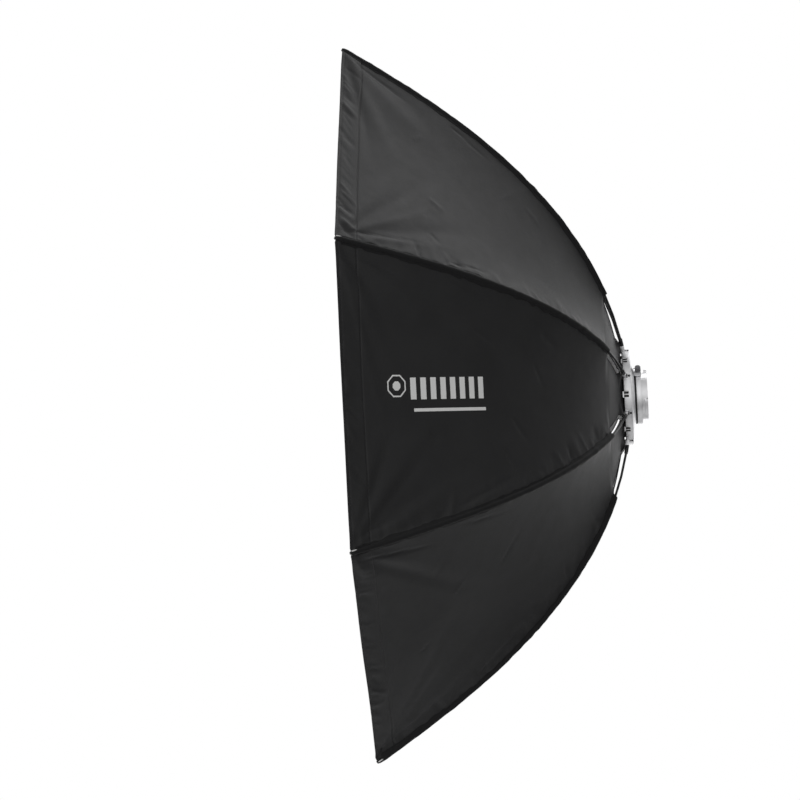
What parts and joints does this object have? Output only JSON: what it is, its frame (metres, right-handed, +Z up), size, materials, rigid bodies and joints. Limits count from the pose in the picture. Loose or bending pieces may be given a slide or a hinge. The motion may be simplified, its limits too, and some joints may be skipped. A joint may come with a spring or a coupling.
{
  "type": "studio softbox",
  "caption": "Octagonal folding studio softbox with a black canopy on curved ribs, a silver speed ring, a bayonet adapter and a white front diffuser.",
  "frame": {"origin": "on the optical axis, in the plane where the bayonet's flange meets the flash", "axes": "+X along the optical axis towards the flash, the light leaves towards -X, +Z up with a flat canopy panel facing -Y"},
  "size_m": [0.5636, 1.392, 1.392],
  "materials": {
    "machined_aluminium": "fine turned, satin",
    "cast_aluminium": "bead blasted casting, light silver",
    "pin_steel": "ground",
    "black_rod": "black coated, satin",
    "black_plastic": "moulded, matt",
    "grey_plastic": "moulded, fluted",
    "canopy_cloth": "black coated polyester, slight sheen, silver lining inside",
    "diffuser_cloth": "white translucent nylon"
  },
  "bodies": {
    "adapter": {"bayonet_adapter": "machined_aluminium", "retaining_ring": "machined_aluminium", "friction_washer": "black_plastic"},
    "ring": {"speed_ring": "cast_aluminium", "hub_collar": "canopy_cloth", "hinge_pin_1": "pin_steel", "hinge_pin_2": "pin_steel", "hinge_pin_3": "pin_steel", "hinge_pin_4": "pin_steel", "hinge_pin_5": "pin_steel", "hinge_pin_6": "pin_steel", "hinge_pin_7": "pin_steel", "hinge_pin_8": "pin_steel"},
    "lock_knob": {"rotation_lock_knob": "grey_plastic"},
    "rib_1": {"rib_holder_1": "cast_aluminium", "rib_rod_1": "black_rod", "canopy_panel_1": "canopy_cloth"},
    "diffuser_1": {"diffuser_sector_1": "diffuser_cloth"},
    "button_1": {"release_button_1": "black_plastic"},
    "rib_2": {"rib_holder_2": "cast_aluminium", "rib_rod_2": "black_rod", "canopy_panel_2": "canopy_cloth"},
    "diffuser_2": {"diffuser_sector_2": "diffuser_cloth"},
    "button_2": {"release_button_2": "black_plastic"},
    "rib_3": {"rib_holder_3": "cast_aluminium", "rib_rod_3": "black_rod", "canopy_panel_3": "canopy_cloth"},
    "diffuser_3": {"diffuser_sector_3": "diffuser_cloth"},
    "button_3": {"release_button_3": "black_plastic"},
    "rib_4": {"rib_holder_4": "cast_aluminium", "rib_rod_4": "black_rod", "canopy_panel_4": "canopy_cloth"},
    "diffuser_4": {"diffuser_sector_4": "diffuser_cloth"},
    "button_4": {"release_button_4": "black_plastic"},
    "rib_5": {"rib_holder_5": "cast_aluminium", "rib_rod_5": "black_rod", "canopy_panel_5": "canopy_cloth"},
    "diffuser_5": {"diffuser_sector_5": "diffuser_cloth"},
    "button_5": {"release_button_5": "black_plastic"},
    "rib_6": {"rib_holder_6": "cast_aluminium", "rib_rod_6": "black_rod", "canopy_panel_6": "canopy_cloth"},
    "diffuser_6": {"diffuser_sector_6": "diffuser_cloth"},
    "button_6": {"release_button_6": "black_plastic"},
    "rib_7": {"rib_holder_7": "cast_aluminium", "rib_rod_7": "black_rod", "canopy_panel_7": "canopy_cloth"},
    "diffuser_7": {"diffuser_sector_7": "diffuser_cloth"},
    "button_7": {"release_button_7": "black_plastic"},
    "rib_8": {"rib_holder_8": "cast_aluminium", "rib_rod_8": "black_rod", "canopy_panel_8": "canopy_cloth"},
    "diffuser_8": {"diffuser_sector_8": "diffuser_cloth"},
    "button_8": {"release_button_8": "black_plastic"}
  },
  "joints": [
    {"name": "ring_rotation", "type": "hinge", "parent": "adapter", "child": "ring", "pos_m": [0, 0, 0], "axis": [1, 0, 0], "continuous": true},
    {"name": "lock_knob_turn", "type": "hinge", "parent": "ring", "child": "lock_knob", "pos_m": [-0.0055, -0.04865, 0.04865], "axis": [0, -0.7071, 0.7071], "range_deg": [0, 360]},
    {"name": "rib_1_fold", "type": "hinge", "parent": "ring", "child": "rib_1", "pos_m": [-0.0313, 0.0813, 0.03368], "axis": [0, -0.3827, 0.9239], "range_deg": [0, 48], "deforming": ["canopy_panel_1"]},
    {"name": "diffuser_1_fold", "type": "hinge", "parent": "rib_1", "child": "diffuser_1", "pos_m": [-0.541, 0.68797, 0.28497], "axis": [0, -0.3827, 0.9239], "range_deg": [0, 38.5], "deforming": ["diffuser_sector_1"]},
    {"name": "release_button_1_press", "type": "slide", "parent": "ring", "child": "button_1", "axis": [0, -0.9239, -0.3827], "range_m": [0, 0.0025], "stiffness_N_per_m": 300, "springref_m": -0.001},
    {"name": "rib_2_fold", "type": "hinge", "parent": "ring", "child": "rib_2", "pos_m": [-0.0313, 0.03368, 0.0813], "axis": [0, -0.9239, 0.3827], "range_deg": [0, 48], "deforming": ["canopy_panel_2"]},
    {"name": "diffuser_2_fold", "type": "hinge", "parent": "rib_2", "child": "diffuser_2", "pos_m": [-0.541, 0.28497, 0.68797], "axis": [0, -0.9239, 0.3827], "range_deg": [0, 38.5], "deforming": ["diffuser_sector_2"]},
    {"name": "release_button_2_press", "type": "slide", "parent": "ring", "child": "button_2", "axis": [0, -0.3827, -0.9239], "range_m": [0, 0.0025], "stiffness_N_per_m": 300, "springref_m": -0.001},
    {"name": "rib_3_fold", "type": "hinge", "parent": "ring", "child": "rib_3", "pos_m": [-0.0313, -0.03368, 0.0813], "axis": [0, -0.9239, -0.3827], "range_deg": [0, 48], "deforming": ["canopy_panel_3"]},
    {"name": "diffuser_3_fold", "type": "hinge", "parent": "rib_3", "child": "diffuser_3", "pos_m": [-0.541, -0.28497, 0.68797], "axis": [0, -0.9239, -0.3827], "range_deg": [0, 38.5], "deforming": ["diffuser_sector_3"]},
    {"name": "release_button_3_press", "type": "slide", "parent": "ring", "child": "button_3", "axis": [0, 0.3827, -0.9239], "range_m": [0, 0.0025], "stiffness_N_per_m": 300, "springref_m": -0.001},
    {"name": "rib_4_fold", "type": "hinge", "parent": "ring", "child": "rib_4", "pos_m": [-0.0313, -0.0813, 0.03368], "axis": [0, -0.3827, -0.9239], "range_deg": [0, 48], "deforming": ["canopy_panel_4"]},
    {"name": "diffuser_4_fold", "type": "hinge", "parent": "rib_4", "child": "diffuser_4", "pos_m": [-0.541, -0.68797, 0.28497], "axis": [0, -0.3827, -0.9239], "range_deg": [0, 38.5], "deforming": ["diffuser_sector_4"]},
    {"name": "release_button_4_press", "type": "slide", "parent": "ring", "child": "button_4", "axis": [0, 0.9239, -0.3827], "range_m": [0, 0.0025], "stiffness_N_per_m": 300, "springref_m": -0.001},
    {"name": "rib_5_fold", "type": "hinge", "parent": "ring", "child": "rib_5", "pos_m": [-0.0313, -0.0813, -0.03368], "axis": [0, 0.3827, -0.9239], "range_deg": [0, 48], "deforming": ["canopy_panel_5"]},
    {"name": "diffuser_5_fold", "type": "hinge", "parent": "rib_5", "child": "diffuser_5", "pos_m": [-0.541, -0.68797, -0.28497], "axis": [0, 0.3827, -0.9239], "range_deg": [0, 38.5], "deforming": ["diffuser_sector_5"]},
    {"name": "release_button_5_press", "type": "slide", "parent": "ring", "child": "button_5", "axis": [0, 0.9239, 0.3827], "range_m": [0, 0.0025], "stiffness_N_per_m": 300, "springref_m": -0.001},
    {"name": "rib_6_fold", "type": "hinge", "parent": "ring", "child": "rib_6", "pos_m": [-0.0313, -0.03368, -0.0813], "axis": [0, 0.9239, -0.3827], "range_deg": [0, 48], "deforming": ["canopy_panel_6"]},
    {"name": "diffuser_6_fold", "type": "hinge", "parent": "rib_6", "child": "diffuser_6", "pos_m": [-0.541, -0.28497, -0.68797], "axis": [0, 0.9239, -0.3827], "range_deg": [0, 38.5], "deforming": ["diffuser_sector_6"]},
    {"name": "release_button_6_press", "type": "slide", "parent": "ring", "child": "button_6", "axis": [0, 0.3827, 0.9239], "range_m": [0, 0.0025], "stiffness_N_per_m": 300, "springref_m": -0.001},
    {"name": "rib_7_fold", "type": "hinge", "parent": "ring", "child": "rib_7", "pos_m": [-0.0313, 0.03368, -0.0813], "axis": [0, 0.9239, 0.3827], "range_deg": [0, 48], "deforming": ["canopy_panel_7"]},
    {"name": "diffuser_7_fold", "type": "hinge", "parent": "rib_7", "child": "diffuser_7", "pos_m": [-0.541, 0.28497, -0.68797], "axis": [0, 0.9239, 0.3827], "range_deg": [0, 38.5], "deforming": ["diffuser_sector_7"]},
    {"name": "release_button_7_press", "type": "slide", "parent": "ring", "child": "button_7", "axis": [0, -0.3827, 0.9239], "range_m": [0, 0.0025], "stiffness_N_per_m": 300, "springref_m": -0.001},
    {"name": "rib_8_fold", "type": "hinge", "parent": "ring", "child": "rib_8", "pos_m": [-0.0313, 0.0813, -0.03368], "axis": [0, 0.3827, 0.9239], "range_deg": [0, 48], "deforming": ["canopy_panel_8"]},
    {"name": "diffuser_8_fold", "type": "hinge", "parent": "rib_8", "child": "diffuser_8", "pos_m": [-0.541, 0.68797, -0.28497], "axis": [0, 0.3827, 0.9239], "range_deg": [0, 38.5], "deforming": ["diffuser_sector_8"]},
    {"name": "release_button_8_press", "type": "slide", "parent": "ring", "child": "button_8", "axis": [0, -0.9239, 0.3827], "range_m": [0, 0.0025], "stiffness_N_per_m": 300, "springref_m": -0.001}
  ],
  "couplings": [
    {"joint": "diffuser_1_fold", "follows": "rib_1_fold", "ratio": 0.79167},
    {"joint": "rib_2_fold", "follows": "rib_1_fold", "ratio": 1},
    {"joint": "diffuser_2_fold", "follows": "rib_1_fold", "ratio": 0.79167},
    {"joint": "rib_3_fold", "follows": "rib_1_fold", "ratio": 1},
    {"joint": "diffuser_3_fold", "follows": "rib_1_fold", "ratio": 0.79167},
    {"joint": "rib_4_fold", "follows": "rib_1_fold", "ratio": 1},
    {"joint": "diffuser_4_fold", "follows": "rib_1_fold", "ratio": 0.79167},
    {"joint": "rib_5_fold", "follows": "rib_1_fold", "ratio": 1},
    {"joint": "diffuser_5_fold", "follows": "rib_1_fold", "ratio": 0.79167},
    {"joint": "rib_6_fold", "follows": "rib_1_fold", "ratio": 1},
    {"joint": "diffuser_6_fold", "follows": "rib_1_fold", "ratio": 0.79167},
    {"joint": "rib_7_fold", "follows": "rib_1_fold", "ratio": 1},
    {"joint": "diffuser_7_fold", "follows": "rib_1_fold", "ratio": 0.79167},
    {"joint": "rib_8_fold", "follows": "rib_1_fold", "ratio": 1},
    {"joint": "diffuser_8_fold", "follows": "rib_1_fold", "ratio": 0.79167}
  ]
}
